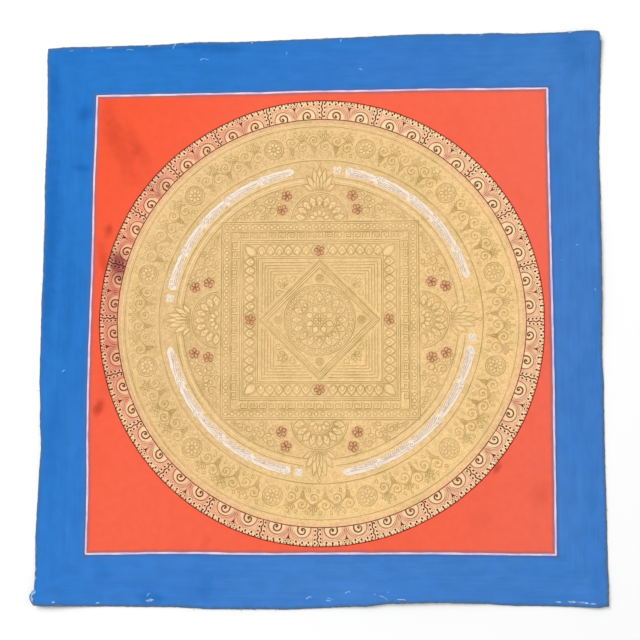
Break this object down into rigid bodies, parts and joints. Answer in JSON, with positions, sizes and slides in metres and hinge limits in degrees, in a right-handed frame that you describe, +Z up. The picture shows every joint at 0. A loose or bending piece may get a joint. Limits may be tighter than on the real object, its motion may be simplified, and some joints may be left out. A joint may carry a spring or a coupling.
{
  "type": "unmounted thangka scroll painting",
  "caption": "Square painted cotton canvas lying face up: blue margin, white line, red field and a gold disc in a scrollwork ring, with slightly wavy, lifting edges.",
  "frame": {"origin": "under the middle of the cloth's bounding box, on the surface that it lies on", "axes": "+Z up out of the painted side, +Y towards the painting's top edge, +X to its right as seen from above"},
  "size_m": [0.5026, 0.509, 0.0052],
  "materials": {
    "painted_canvas": "matt mineral paint on primed cotton canvas",
    "raw_canvas": "bare cotton canvas, plain weave",
    "blue_paint": "matt blue paint with brush streaks",
    "red_paint": "matt vermilion paint",
    "gold_paint": "matt shell gold with a faint sheen",
    "white_paint": "matt white paint",
    "line_paint": "matt maroon and umber brush lines"
  },
  "bodies": {
    "root": {"painted_cloth": "painted_canvas"}
  },
  "joints": []
}
